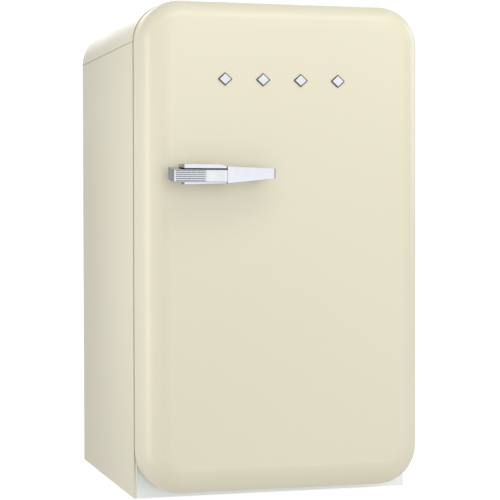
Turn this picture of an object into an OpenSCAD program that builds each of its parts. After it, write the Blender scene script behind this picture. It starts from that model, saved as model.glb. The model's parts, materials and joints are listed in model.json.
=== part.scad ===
// Under-counter mini fridge: a foamed steel cabinet with a round-cornered roof, one pillow-shaped door
// hung on the right, a chrome lever handle, an ice box, a crisper and the cooling unit at the rear.
// Frame: X to the right, Y to the rear, Z up; the origin is on the floor, in the middle of the box.

/* [Overall] */
// Width of the cabinet and of the door
body_w = 545; // [450:1:700]
// Height from the floor to the top
body_h = 955; // [790:1:1200]
// Depth of the cabinet, without the door
cabinet_d = 526; // [430:1:650]
// Radius of the two long corners of the roof
roof_r = 72; // [58:1:88]
// Height of the levelling feet
foot_h = 18; // [14:1:30]

/* [Cabinet walls] */
// Thickness that the sheet-metal panels are drawn with
sheet_t = 2; // [1.5:0.1:3]
// Thickness of the plastic inner liner
liner_t = 2.5; // [2:0.1:4]
// Thickness of each side wall, panel and liner included
wall_side = 44.5; // [36:0.5:56]
// Thickness of the roof
wall_top = 50; // [40:1:60]
// Thickness of the floor
wall_bottom = 57; // [45:1:70]
// Thickness of the back wall in front of the back panel's inner face
wall_back = 50; // [40:1:60]
// Width of the folded front edge of the panels
flange_w = 22; // [20:0.5:26]
// Radius of the corners of the cabinet's opening
cavity_r = 25; // [12:1:40]
// How far the back panel is set in from the rear edges
rear_recess = 38; // [34:1:46]

/* [Compressor bay] */
// Depth of the bay from the rear edges
bay_d = 196; // [180:1:220]
// Height of the bay above the cabinet's underside
bay_h = 167; // [160:1:200]
// Thickness of the liner's step in front of the bay
hump_wall = 42; // [35:1:55]
// Thickness of the liner's step above the bay
hump_cover = 50; // [40:1:60]
// Radius of the compressor's shell
compressor_r = 62; // [52:1:66]
// Height of the compressor's shell
compressor_h = 112; // [90:1:116]

/* [Door] */
// Thickness of the door
door_t = 92; // [76:1:112]
// Gap between the door and the cabinet, filled by the seal
gasket_gap = 12; // [10:0.5:14]
// Height of the door's lower edge above the floor
door_bottom_z = 34; // [30:1:44]
// Radius of the door's corners, seen from the front
door_corner_r = 76; // [62:1:92]
// Radius of the door's rounded front edges
door_edge_r = 48; // [40:1:57]
// Distance from the hinge axis to the door's right side
hinge_side = 18; // [16:0.5:20]
// Distance from the hinge axis to the door's rear plane
hinge_depth = 20; // [18:0.5:24]
// Distance from each hinge to the door's end
hinge_end = 95; // [94:1:130]
// Radius of the hinge pins
hinge_pin_r = 4; // [3:0.5:5]
// Running clearance around pins and spindles
pin_clear = 0.05; // [0.03:0.01:0.1]

/* [Handle] */
// How far the handle stands out from the door
handle_reach = 46; // [40:1:55]
// Height of the handle above the floor, at its middle
handle_z = 629; // [560:1:680]
// Distance from the handle's left end to the door's left side
handle_end = 38.5; // [34:0.5:60]
// Length of the whole handle
handle_len = 202; // [190:1:240]
// Length of the ribbed grip
grip_len = 106; // [96:1:116]
// Room for fingers behind the handle
finger_gap = 20; // [18:0.5:24]
// Number of grooves in the grip
groove_count = 6; // [4:1:7]

/* [Inside] */
// Height of the ice box
ice_h = 140; // [110:1:170]
// Thickness of the ice box's walls
ice_wall = 8; // [6:0.5:12]
// Distance from the ice box down to the upper shelf
shelf_drop = 180; // [140:1:200]
// Thickness of the glass shelves
glass_t = 4; // [3:0.5:6]
// Height of the crisper drawer
drawer_h = 139; // [110:1:145]
// Wall of the drawer and of the door bins
bin_wall = 2.5; // [2:0.1:4]
// Depth of the door bins
bin_d = 85; // [60:1:88]

/* [Condenser] */
// Radius of the condenser's tube
coil_tube_r = 2.5; // [2:0.1:3.5]
// Number of runs of the tube, an odd number
coil_runs = 13; // [9:2:15]
// Number of wires across the tube
wire_count = 18; // [10:1:22]

/* [Hidden] */
$fn = 64;

// Small clearances
seat = 0.2;          // between foam and the skins that it fills
gap = 0.3;           // between pieces that move past each other
cut = 1;             // overrun of a cutting tool
tiny = 0.01;         // shorter than any real run

// Colours
cream = [0.89, 0.87, 0.77];
plinth_grey = [0.88, 0.9, 0.89];
liner_white = [0.95, 0.95, 0.94];
zinc = [0.7, 0.72, 0.73];
chrome_grey = [0.8, 0.81, 0.83];
foam_yellow = [0.9, 0.82, 0.58];
clear_blue = [0.78, 0.88, 0.9, 0.5];
black = [0.08, 0.08, 0.08];
copper = [0.72, 0.43, 0.25];
soft_white = [0.9, 0.9, 0.88];

// Main planes
half_w = body_w / 2;
rear_y = (cabinet_d + gasket_gap + door_t + handle_reach) / 2;
cab_front_y = rear_y - cabinet_d;
door_back_y = cab_front_y - gasket_gap;
door_front_y = door_back_y - door_t;
handle_front_y = door_front_y - handle_reach;
base_z = foot_h;
pan_z = base_z + sheet_t;
top_z = body_h;
seam_z = top_z - roof_r;
panel_in_x = half_w - sheet_t;
flange_in_x = half_w - flange_w;
back_out_y = rear_y - rear_recess;
back_in_y = back_out_y - sheet_t;

// The cavity and the bay
cav_x = half_w - wall_side;
cav_top_z = top_z - wall_top;
cav_bottom_z = base_z + wall_bottom;
cav_rear_y = back_in_y - wall_back;
bay_front_y = rear_y - bay_d;
bay_top_z = base_z + bay_h;
hump_front_y = bay_front_y - hump_wall;
hump_top_z = bay_top_z + hump_cover;

// Hinges
hinge_x = half_w - hinge_side;
hinge_y = door_back_y - hinge_depth;
hinge_arm_r = 10;                    // half the width of a hinge arm
hinge_arm_t = 4;
hinge_foot_t = 3.5;
hinge_foot_h = 56;
hinge_pin_len = 24;                  // length of pin inside the door
hinge_top_z = top_z - hinge_end;     // upper face of the top arm
hinge_low_z = door_bottom_z + hinge_end;  // lower face of the bottom arm
pocket_clear = 2;                    // around the arm, in the door
pocket_d = hinge_depth + 23;         // depth of the pocket from the door's rear plane
screw_r = 2.5;
screw_head_r = 4.8;
screw_len = 20;
hinge_screw_x = half_w - 9;
bush_r = 8;
bush_len = hinge_pin_len + 2;

// Feet
foot_pad_r = 17;
foot_pad_t = 7;
foot_stud_r = 4;
foot_top_z = pan_z + 12;
foot_x = half_w - 43;
foot_front_y = cab_front_y + 118;
foot_rear_y = rear_y - 48;

// Plinth plate
plinth_side = 5;
plinth_h = 70;
plinth_clear = 4;                    // around the seal

// Seal and inner door
seal_out = 32;                       // from the door's outline to the seal
seal_w = 18;
skin_t = 2;
foam_inset = skin_t + seat;
door_h = top_z - door_bottom_z;
door_mid_z = (top_z + door_bottom_z) / 2;
rim_clear = 12;                      // from the cavity's side to the rim inside the door
rim_seal_clear = 6.5;                // from the seal to that rim
dyke_x = min(cav_x - rim_clear, half_w - seal_out - seal_w - rim_seal_clear);
dyke_w = 16;
dyke_d = 20;
dyke_top_z = cav_top_z - 10;
dyke_low_z = cav_bottom_z + 10;
dyke_r = 20;
dyke_in_r = 12;
bin_x = dyke_x - dyke_w - gap;
bin_rear_y = door_back_y + bin_d;

// Ice box
ice_x = cav_x - cavity_r;
ice_z = cav_top_z - ice_h;
ice_front_y = cab_front_y + 98;
ice_rear_y = cav_rear_y - 5;
evap_t = 2;
flap_t = 11.4;
flap_y = ice_front_y - gap - flap_t / 2;
flap_hinge_x = ice_x - flap_t / 2;
flap_low_z = ice_z + 7;
flap_top_z = cav_top_z - 9;
lug_t = 5;
flap_pin_r = 2;
flap_pin_len = 12;
flap_grip_in = 20;
flap_grip_w = 14;
flap_grip_d = 14;

// Shelves
shelf_front_y = cab_front_y + 88;
shelf_rear_y = cav_rear_y - 5;
shelf_x = cav_x - 3;
ledge_w = 8;
ledge_h = 6;
upper_z = ice_z - shelf_drop;        // underside of the upper shelf
lid_z = hump_top_z + 5;              // underside of the crisper's lid
lower_z = (upper_z + lid_z + glass_t) / 2;
trim_h = 12;
trim_d = 10;

// Door bins
bin_upper_z = ice_z - 125;
bin_low_z = dyke_low_z + dyke_w + dyke_in_r;
bin_middle_z = (bin_upper_z + bin_low_z) / 2 + 15;
bin_h = 75;
rack_h = 85;
rail_drop = 10;

// Crisper drawer
drawer_x = cav_x - 30;
drawer_front_y = cab_front_y + 103;
drawer_rear_y = hump_front_y - 4;
drawer_z = cav_bottom_z + 1;
drawer_lip = 9;

// Controls under the ice box
box_in_x = cav_x - 50;
box_front_y = cab_front_y + 128;
box_rear_y = box_front_y + 140;
box_top_z = ice_z - 1;
box_low_z = box_top_z - 64;
box_wall = 2.5;
box_mid_x = (box_in_x + cav_x) / 2;
box_mid_z = (box_top_z + box_low_z) / 2;
knob_r = 15;
knob_t = 14;
spindle_r = 3;
thermostat_r = 17;
thermostat_len = 40;
bulb_r = 9;
bulb_len = 34;
lens_len = 60;
lens_h = 40;

// Door switch on the right wall
switch_in_x = dyke_x - 14;
switch_z = box_low_z + 46;
switch_h = 24;
switch_front_y = cab_front_y + 28;
switch_len = 40;
plunger_r = 3;
plunger_x = dyke_x - dyke_w / 2 + 2;
plunger_travel = 6;

// Cooling unit
compressor_x = -40;
compressor_y = bay_front_y + bay_d / 2 - 5;
mount_z = pan_z + 14;
mount_t = 3;
mount_x = 78;
mount_y = 62;
grommet_r = 11;
mount_bolt_r = 4;
shell_z = mount_z + mount_t;
shell_round = 22;
shell_rim = 3;
tray_z = shell_z + compressor_h + 2;
tray_h = 14;
tray_wall = 1.5;
drain_r = 6;
drain_y = compressor_y - 10;
coil_y = back_out_y + 14;
coil_x = half_w - 82;
coil_low_z = bay_top_z + 85;
coil_top_in = 37;                    // from the roof's seam down to the last run
coil_pitch = round(10 * (seam_z - coil_top_in - coil_low_z) / (coil_runs - 1)) / 10;  // whole tenths
coil_top_z = coil_low_z + coil_pitch * (coil_runs - 1);
coil_start_z = coil_low_z - coil_pitch;
coil_feed_x = coil_x - 40;
coil_drop_x = -coil_x - 25 - coil_pitch / 2;
wire_r = 0.8;
drier_r = 9;
drier_top_z = bay_top_z + 25;
drier_len = 80;
suction_r = 4;
pipe_bend = 16;
gland_r = 9;
cord_r = 4;
gland_x = half_w - 72;
gland_z = pan_z + 20;
crossbar_h = 40;

// Small fittings
rear_hem_w = 12;                     // folded rear edge of the side panels
back_screw_in = 30;                  // from the side and above the bay
back_screw_up = 20;
back_screw_r = 1.5;
back_screw_len = 10;
back_head_r = 4;
back_head_t = 2.5;
hinge_screw_end = 9;                 // from the end of the hinge's foot
head_land = 0.7;                     // straight part under a countersunk head
hinge_foot_side = 2.5;               // from the cabinet's side to the hinge's foot
foot_nut_t = 4;
trim_over = 3;                       // how far the trim reaches over the glass
lid_front_in = 10;
lug_half = 5;                        // half the width of the flap's hinge lugs
evap_front_in = 12;
flap_grip_end = 30;
lens_rear_in = 12;
bulb_neck = 0.7;                     // the bulb's neck, as a share of its radius
spindle_in = 9;                      // length of spindle inside the thermostat
pointer_w = 2;
pointer_d = 1.5;
switch_end = 4;
pull_drop = 16;                      // from the drawer's rim down to its pull
pull_t = 6;
mount_edge = 14;                     // from a mount's middle to the plate's edge
bolt_top = 5;
bolt_head_r = 7;
relay_out = 42;
relay_half_d = 26;
relay_low = 14;
relay_high = 66;
tray_half_w = 62;
tray_half_d = 50;
tray_gap = 4;                        // from the tray to the drain tube
drain_wall = 1.5;
pipe_z = shell_z + 84;
suction_out = 50;                    // from the shell to the suction pipe
suction_rear = 25;
wire_end = 12;                       // wires beyond the first and last run
wire_side = 4;
wire_gap = 0.05;
clip_half_w = 7;
clip_half_h = 5;
drier_tip_r = 2;
drier_cone = 10;
gland_neck = 2;                      // how much thinner the gland's neck is than its flange
bin_over = 2;                        // how far a bin's rim stands out
bin_drain_r = 2.5;
lens_y = [box_rear_y - lens_rear_in - lens_len, box_rear_y - lens_rear_in];
lens_z = [box_mid_z - lens_h / 2, box_mid_z + lens_h / 2];

// The tube starts at the discharge pipe, runs up in a serpentine and drops to the filter drier
coil_path = concat(
    [[coil_feed_x, coil_y, coil_start_z], [coil_feed_x, coil_y, coil_low_z]],
    [for (i = [0 : coil_runs - 2], end = [0, 1])
        [i % 2 == 0 ? -coil_x : coil_x, coil_y, coil_low_z + (i + end) * coil_pitch]],
    [[coil_drop_x, coil_y, coil_top_z], [coil_drop_x, coil_y, drier_top_z]]);

// Handle
handle_left_x = -half_w + handle_end;
handle_right_x = handle_left_x + handle_len;
handle_back_y = door_front_y - finger_gap;
grip_back_y = handle_back_y - 4;
grip_right_x = handle_left_x + grip_len;
grip_slant = 6;
grip_low = -14;                      // front lower edge of the grip, from handle_z
grip_high = 9;                       // front upper edge
grip_drop = 5;                       // how much lower the front is than the back
base_left_x = handle_left_x + 20;
base_low = -18;
base_high = 19;
tail_low = -6;
tail_high = 12;
rail_back = 4;                       // how far the rails stay behind the grip's front
groove_pitch = 3.6;
groove_w = 1.6;
groove_len = 58;
post_r = 8;
handle_half_h = 40;                  // half the height that the outlines cut
plate_side = 20;                     // the plate beyond the posts
plate_half_h = 25;
post_head_r = 4.5;
post_head_t = 3;
thread_in = 3;                       // length of screw inside the handle
screw_room_r = 6;
screw_room_d = 4;
groove_in = 3;                       // from the slant to the grooves
groove_d = 1.2;
groove_drop = 2.5;
groove_left_x = handle_left_x + grip_slant + groove_in;
groove_z = handle_z - groove_drop;
rail_slant = 6;
rail_step = 4;
rail_mitre = 12;
low_step = 2;
tail_slant = 3;
post_left_x = grip_right_x - 8;
post_right_x = handle_right_x - 32;
plate_t = 2;

// Badge
badge_z = door_bottom_z + door_h - 148;
badge_pitch = 73.4;
badge_x = -10;                       // middle of the row, from the door's middle
badge_w = 28;
badge_h = 25;
badge_t = 3;

// ---- helpers ----

// A box given by its ranges in X, Y and Z
module box(x, y, z)
    translate([x[0], y[0], z[0]]) cube([x[1] - x[0], y[1] - y[0], z[1] - z[0]]);

// A flat outline in X and Z, made solid from y0 to y1
module extrude_y(y0, y1)
    translate([0, y1, 0]) rotate([90, 0, 0]) linear_extrude(y1 - y0) children();

// A flat outline in Y and Z, made solid from x0 to x1
module extrude_x(x0, x1)
    translate([x0, 0, 0]) rotate([90, 0, 90]) linear_extrude(x1 - x0) children();

// A rectangle with round corners, from corner a to corner b
module round_rect(a, b, r) {
    translate([a[0], a[1] + r]) square([b[0] - a[0], b[1] - a[1] - 2 * r]);
    translate([a[0] + r, a[1]]) square([b[0] - a[0] - 2 * r, b[1] - a[1]]);
    for (x = [a[0] + r, b[0] - r], z = [a[1] + r, b[1] - r]) translate([x, z]) circle(r);
}

// A rod along Y from y0 to y1
module rod_y(x, z, y0, y1, r)
    translate([x, y0, z]) rotate([-90, 0, 0]) cylinder(h = y1 - y0, r = r);

// A rod along Z
module rod_z(x, y, z0, z1, r)
    translate([x, y, z0]) cylinder(h = z1 - z0, r = r);

// The cabinet's front outline, set in from the outside; its bottom is at the given height
module cabinet_outline(inset, bottom) {
    side = half_w - inset;
    flat = half_w - roof_r;
    translate([-side, bottom]) square([2 * side, seam_z - bottom]);
    translate([-flat, bottom]) square([2 * flat, top_z - inset - bottom]);
    for (s = [-1, 1]) translate([s * flat, seam_z]) circle(roof_r - inset);
}

// The shape of the cavity, grown by the given amount, from y_front to the rear
module cavity(grow, y_front) {
    low = cav_bottom_z - grow;
    step_y = hump_front_y + grow;
    step_z = hump_top_z - grow;
    rear = cav_rear_y + grow;
    high = cav_top_z + grow;
    intersection() {
        extrude_x(-half_w, half_w)
            polygon([[y_front, low], [step_y, low], [step_y, step_z], [rear, step_z],
                [rear, high], [y_front, high]]);
        extrude_y(y_front, rear)
            round_rect([-cav_x - grow, low], [cav_x + grow, high], cavity_r + grow);
    }
}

// The direction of a run along X, Y or Z, free of rounding
function heading(run) = [for (k = run) abs(k) < tiny ? 0 : sign(k)];

// A tube along points joined by right-angled bends
module pipe(points, r, bend) {
    last = len(points) - 1;
    for (i = [0 : last - 1]) {
        run = points[i + 1] - points[i];
        dir = heading(run);
        from = i == 0 ? 0 : bend;
        to = norm(run) - (i == last - 1 ? 0 : bend);
        side = abs(dir[2]) > 0.5 ? [1, 0, 0] : [0, 0, 1];
        up = cross(dir, side);
        start = points[i] + dir * from;
        if (to - from > tiny)
            multmatrix([[side[0], up[0], dir[0], start[0]], [side[1], up[1], dir[1], start[1]],
                [side[2], up[2], dir[2], start[2]]]) cylinder(h = to - from, r = r);
    }
    for (i = [1 : 1 : last - 1]) {
        a = heading(points[i] - points[i - 1]);
        b = heading(points[i + 1] - points[i]);
        n = cross(a, b);
        c = points[i] - a * bend + b * bend;
        multmatrix([[-b[0], a[0], n[0], c[0]], [-b[1], a[1], n[1], c[1]], [-b[2], a[2], n[2], c[2]]])
            rotate_extrude(angle = 90) translate([bend, 0]) circle(r);
    }
}

// Cross-section of the door's rounded edge, from the corner's centre outwards
module edge_profile(corner, edge, t)
    intersection() {
        union() {
            square([corner, t - edge]);
            square([corner - edge, t]);
            translate([corner - edge, t - edge]) circle(edge);
        }
        square([corner, t]);
    }

// A pillow with round corners and a rounded front; w by h, t thick, its rear plane at y
module pillow(w, h, corner, edge, t, y, z) {
    flat_w = w - 2 * corner;
    flat_h = h - 2 * corner;
    translate([0, y, z]) rotate([90, 0, 0]) {
        translate([-flat_w / 2, corner, 0]) cube([flat_w, flat_h, t]);
        for (s = [0, 1]) mirror([s, 0, 0]) {
            translate([flat_w / 2, corner + flat_h, 0]) rotate([90, 0, 0])
                linear_extrude(flat_h) edge_profile(corner, edge, t);
            translate([flat_w / 2, corner + flat_h, 0])
                rotate_extrude(angle = 90) edge_profile(corner, edge, t);
            translate([flat_w / 2, corner, 0]) rotate([0, 0, -90])
                rotate_extrude(angle = 90) edge_profile(corner, edge, t);
        }
        translate([-flat_w / 2, corner + flat_h, 0]) rotate([90, 0, 90])
            linear_extrude(flat_w) edge_profile(corner, edge, t);
        translate([flat_w / 2, corner, 0]) rotate([90, 0, -90])
            linear_extrude(flat_w) edge_profile(corner, edge, t);
    }
}

// Room for the two hinge arms inside the door
module hinge_pockets()
    for (z = [hinge_top_z - hinge_arm_t, hinge_low_z])
        box([hinge_x - hinge_arm_r - pocket_clear, half_w + cut],
            [door_back_y - pocket_d, door_back_y + cut],
            [z - pocket_clear, z + hinge_arm_t + pocket_clear]);

// Places of the hinge screws
module at_hinge_screws()
    for (z = [hinge_top_z - hinge_arm_t / 2, hinge_low_z + hinge_arm_t / 2], s = [-1, 1])
        translate([hinge_screw_x, cab_front_y,
            z + s * (hinge_foot_h / 2 - hinge_screw_end)]) rotate([-90, 0, 0])
            children();

module at_feet()
    for (x = [-foot_x, foot_x], y = [foot_front_y, foot_rear_y]) translate([x, y, 0]) children();

// An open-topped bin
module bin(x, y, z, wall)
    difference() {
        box(x, y, z);
        box([x[0] + wall, x[1] - wall], [y[0] + wall, y[1] - wall], [z[0] + wall, z[1] + cut]);
    }

// ---- cabinet ----

module side_sheet() {
    box([panel_in_x, half_w], [cab_front_y, rear_y], [base_z, seam_z]);
    box([flange_in_x, half_w], [cab_front_y, cab_front_y + sheet_t], [base_z, seam_z]);
    box([half_w - rear_hem_w, half_w], [rear_y - sheet_t, rear_y], [base_z, seam_z]);
}

module side_panel_left() color(cream) mirror([1, 0, 0]) side_sheet();

module side_panel_right() color(cream)
    difference() {
        side_sheet();
        at_hinge_screws() translate([0, 0, -cut]) cylinder(h = sheet_t + 2 * cut, r = screw_r);
    }

module roof_panel() color(cream)
    difference() {
        for (ring = [[sheet_t, rear_y], [flange_w, cab_front_y + sheet_t]])
            extrude_y(cab_front_y, ring[1]) intersection() {
                difference() {
                    cabinet_outline(0, base_z);
                    cabinet_outline(ring[0], base_z - cut);
                }
                translate([-half_w, seam_z]) square([body_w, roof_r]);
            }
        at_hinge_screws() translate([0, 0, -cut]) cylinder(h = sheet_t + 2 * cut, r = screw_r);
    }

module back_panel() color(zinc)
    difference() {
        extrude_y(back_in_y, back_out_y) cabinet_outline(sheet_t + seat, bay_top_z + sheet_t);
        at_back_screws() translate([0, 0, -cut]) cylinder(h = 2 * sheet_t + 2 * cut, r = back_screw_r);
    }

module base_pan() color(zinc)
    difference() {
        union() {
            box([-panel_in_x, panel_in_x], [cab_front_y, rear_y], [base_z, pan_z]);
            box([-flange_in_x, flange_in_x], [cab_front_y, cab_front_y + sheet_t],
                [base_z, cav_bottom_z - flange_w]);
        }
        for (s = [-1, 1])
            box([s * (half_w - flange_w / 2) - flange_w / 2, s * (half_w - flange_w / 2) + flange_w / 2],
                [cab_front_y - cut, cab_front_y + sheet_t], [base_z - cut, pan_z + cut]);
        for (s = [-1, 1])
            box([s * (half_w - rear_hem_w / 2) - rear_hem_w / 2,
                s * (half_w - rear_hem_w / 2) + rear_hem_w / 2],
                [rear_y - sheet_t, rear_y + cut], [base_z - cut, pan_z + cut]);
        at_feet() translate([0, 0, base_z - cut]) cylinder(h = sheet_t + 2 * cut, r = foot_stud_r);
    }

// The plate covers the base and reaches up on both sides of the seal
module plinth_plate() color(plinth_grey)
    extrude_y(cab_front_y - sheet_t, cab_front_y) difference() {
        translate([-half_w + plinth_side, base_z]) square([body_w - 2 * plinth_side, plinth_h]);
        seal_outline(seal_out - plinth_clear);
    }

module cabinet_foam() color(foam_yellow)
    difference() {
        extrude_y(cab_front_y + sheet_t, back_in_y) cabinet_outline(sheet_t + seat, pan_z);
        cavity(liner_t + seat, cab_front_y - cut);
        box([-half_w, half_w], [bay_front_y - sheet_t, rear_y], [base_z, bay_top_z + sheet_t]);
        at_feet() translate([0, 0, pan_z - cut])
            cylinder(h = foot_top_z - pan_z + cut, r = foot_stud_r);
        at_hinge_screws() cylinder(h = screw_len, r = screw_r);
        rod_z(0, drain_y, bay_top_z, hump_top_z, drain_r);
        at_back_screws() translate([0, 0, sheet_t]) cylinder(h = back_screw_len, r = back_screw_r);
    }

module inner_liner() color(liner_white) {
    difference() {
        union() {
            cavity(liner_t, cab_front_y);
            extrude_y(cab_front_y, cab_front_y + sheet_t)
                cabinet_outline(flange_w, cav_bottom_z - flange_w);
        }
        cavity(0, cab_front_y - cut);
        rod_z(0, drain_y, hump_top_z - liner_t - cut, hump_top_z + cut, drain_r);
    }
    for (z = [upper_z, lower_z, lid_z], s = [0, 1]) mirror([s, 0, 0])
        box([cav_x - ledge_w, cav_x + liner_t / 2], [shelf_front_y + trim_d, shelf_rear_y],
            [z - ledge_h, z]);
}

module bay_panel() color(zinc)
    difference() {
        extrude_x(-panel_in_x, panel_in_x)
            polygon([[bay_front_y - sheet_t, pan_z], [bay_front_y, pan_z], [bay_front_y, bay_top_z],
                [back_out_y, bay_top_z], [back_out_y, bay_top_z + sheet_t],
                [bay_front_y - sheet_t, bay_top_z + sheet_t]]);
        rod_z(0, drain_y, bay_top_z - cut, bay_top_z + sheet_t + cut, drain_r);
    }

module rear_crossbar() color(zinc)
    difference() {
        box([-panel_in_x, panel_in_x], [rear_y - 3 * sheet_t, rear_y - 2 * sheet_t],
            [pan_z, pan_z + crossbar_h]);
        rod_y(gland_x, gland_z, rear_y - 4 * sheet_t, rear_y, gland_r - gland_neck);
    }

module foot_pads() color(black) at_feet() cylinder(h = foot_pad_t, r = foot_pad_r);

module foot_studs() color(zinc) at_feet() {
    translate([0, 0, foot_pad_t]) cylinder(h = foot_top_z - foot_pad_t, r = foot_stud_r);
    translate([0, 0, foot_pad_t]) cylinder(h = foot_nut_t, r = foot_stud_r * 2, $fn = 6);
}

module hinge_brackets() color(zinc)
    difference() {
        for (z = [hinge_top_z - hinge_arm_t, hinge_low_z]) {
            rod_z(hinge_x, hinge_y, z, z + hinge_arm_t, hinge_arm_r);
            box([hinge_x - hinge_arm_r, hinge_x + hinge_arm_r], [hinge_y, cab_front_y],
                [z, z + hinge_arm_t]);
            box([hinge_x - hinge_arm_r - 1, half_w - hinge_foot_side],
                [cab_front_y - hinge_foot_t, cab_front_y],
                [z + (hinge_arm_t - hinge_foot_h) / 2, z + (hinge_arm_t + hinge_foot_h) / 2]);
        }
        rod_z(hinge_x, hinge_y, door_bottom_z, top_z, hinge_pin_r);
        at_hinge_screws() hinge_screw();
    }

module hinge_pins() color(zinc) {
    rod_z(hinge_x, hinge_y, hinge_top_z - hinge_arm_t - pocket_clear - hinge_pin_len, hinge_top_z,
        hinge_pin_r);
    rod_z(hinge_x, hinge_y, hinge_low_z, hinge_low_z + hinge_arm_t + pocket_clear + hinge_pin_len,
        hinge_pin_r);
}

// A countersunk screw, its head in the hinge's foot
module hinge_screw() {
    translate([0, 0, -hinge_foot_t]) cylinder(h = hinge_foot_t - head_land, r1 = screw_head_r, r2 = screw_r);
    translate([0, 0, -head_land]) cylinder(h = screw_len + head_land, r = screw_r);
}

module hinge_screws() color(zinc) at_hinge_screws() hinge_screw();

module at_back_screws()
    for (x = [-half_w + back_screw_in, half_w - back_screw_in],
        z = [bay_top_z + back_screw_up, (bay_top_z + seam_z) / 2, seam_z])
        translate([x, back_out_y, z]) rotate([90, 0, 0]) children();

module back_screws() color(zinc)
    at_back_screws() {
        translate([0, 0, -back_head_t]) cylinder(h = back_head_t, r = back_head_r);
        cylinder(h = back_screw_len, r = back_screw_r);
    }

// ---- inside ----

module shelf_glass(z) color(clear_blue)
    box([-shelf_x, shelf_x], [shelf_front_y + trim_over, shelf_rear_y], [z, z + glass_t]);

module shelf_glass_upper() shelf_glass(upper_z);

module shelf_glass_lower() shelf_glass(lower_z);

module shelf_trims() color(soft_white)
    for (z = [upper_z, lower_z]) difference() {
        box([-shelf_x, shelf_x], [shelf_front_y, shelf_front_y + trim_d],
            [z + (glass_t - trim_h) / 2, z + (glass_t + trim_h) / 2]);
        box([-half_w, half_w], [shelf_front_y + trim_over, shelf_front_y + trim_d + cut],
            [z, z + glass_t]);
    }

module crisper_lid() color(clear_blue)
    box([-shelf_x, shelf_x], [shelf_front_y + lid_front_in, shelf_rear_y], [lid_z, lid_z + glass_t]);

module ice_box_shell() color(liner_white) {
    difference() {
        box([-ice_x, ice_x], [ice_front_y, ice_rear_y], [ice_z, cav_top_z]);
        box([-ice_x + ice_wall, ice_x - ice_wall], [ice_front_y - cut, ice_rear_y - ice_wall],
            [ice_z + ice_wall, cav_top_z - ice_wall]);
    }
    difference() {
        for (z = [ice_z, cav_top_z - lug_t])
            box([flap_hinge_x - lug_half, flap_hinge_x + lug_half], [flap_y - lug_half, ice_front_y + cut],
                [z, z + lug_t]);
        rod_z(flap_hinge_x, flap_y, ice_z - cut, cav_top_z + cut, flap_pin_r);
    }
}

module evaporator() color(zinc) {
    side = ice_x - ice_wall - seat;
    low = ice_z + ice_wall + seat;
    high = cav_top_z - ice_wall - seat;
    rear = ice_rear_y - ice_wall - seat;
    difference() {
        box([-side, side], [ice_front_y + evap_front_in, rear], [low, high]);
        box([-side + evap_t, side - evap_t], [ice_front_y, rear - evap_t], [low + evap_t, high - evap_t]);
    }
}

module ice_box_pins() color(zinc) {
    rod_z(flap_hinge_x, flap_y, ice_z, flap_low_z + flap_pin_len, flap_pin_r);
    rod_z(flap_hinge_x, flap_y, flap_top_z - flap_pin_len, cav_top_z, flap_pin_r);
}

module ice_box_door() color(liner_white)
    difference() {
        union() {
            rod_z(flap_hinge_x, flap_y, flap_low_z, flap_top_z, flap_t / 2);
            box([-ice_x, flap_hinge_x], [flap_y - flap_t / 2, flap_y + flap_t / 2],
                [flap_low_z, flap_top_z]);
            box([-ice_x + flap_grip_in, -ice_x + flap_grip_in + flap_grip_w],
                [flap_y - flap_t / 2 - flap_grip_d, flap_y - flap_t / 2],
                [flap_low_z + flap_grip_end, flap_top_z - flap_grip_end]);
        }
        for (z = [flap_low_z - cut, flap_top_z - flap_pin_len - 1])
            rod_z(flap_hinge_x, flap_y, z, z + flap_pin_len + 1 + cut, flap_pin_r + pin_clear);
    }

module control_housing() color(soft_white)
    difference() {
        box([box_in_x, cav_x], [box_front_y, box_rear_y], [box_low_z, box_top_z]);
        box([box_in_x + box_wall, cav_x + cut], [box_front_y + box_wall, box_rear_y - box_wall],
            [box_low_z + box_wall, box_top_z - box_wall]);
        rod_y(box_mid_x, box_mid_z, box_front_y - cut, box_front_y + box_wall + cut,
            spindle_r + pin_clear);
        box([box_in_x - cut, box_in_x + box_wall + cut], lens_y, lens_z);
    }

module lamp_lens() color(clear_blue) box([box_in_x, box_in_x + box_wall], lens_y, lens_z);

module lamp_bulb() color([0.98, 0.97, 0.9])
    translate([box_mid_x, box_rear_y - box_wall, box_mid_z]) rotate([90, 0, 0]) {
        cylinder(h = bulb_len - bulb_r, r = bulb_r * bulb_neck);
        translate([0, 0, bulb_len - bulb_r]) sphere(bulb_r);
    }

module thermostat_body() color(zinc)
    difference() {
        rod_y(box_mid_x, box_mid_z, box_front_y + box_wall, box_front_y + box_wall + thermostat_len,
            thermostat_r);
        rod_y(box_mid_x, box_mid_z, box_front_y, box_front_y + box_wall + spindle_in, spindle_r + pin_clear);
    }

module thermostat_knob() color(soft_white)
    difference() {
        union() {
            rod_y(box_mid_x, box_mid_z, box_front_y - gap - knob_t, box_front_y - gap, knob_r);
            rod_y(box_mid_x, box_mid_z, box_front_y - gap, box_front_y + box_wall + spindle_in - cut,
                spindle_r);
        }
        box([box_mid_x - pointer_w / 2, box_mid_x + pointer_w / 2],
            [box_front_y - gap - knob_t - cut, box_front_y - gap - knob_t + pointer_d],
            [box_mid_z, box_mid_z + knob_r + cut]);
    }

module door_switch_body() color(soft_white)
    difference() {
        box([switch_in_x, cav_x], [switch_front_y, switch_front_y + switch_len],
            [switch_z - switch_h / 2, switch_z + switch_h / 2]);
        rod_y(plunger_x, switch_z, switch_front_y - cut, switch_front_y + switch_len - switch_end,
            plunger_r + pin_clear);
    }

module door_switch_plunger() color(black)
    rod_y(plunger_x, switch_z, door_back_y + dyke_d + gap, switch_front_y + 2 * plunger_travel,
        plunger_r);

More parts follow.
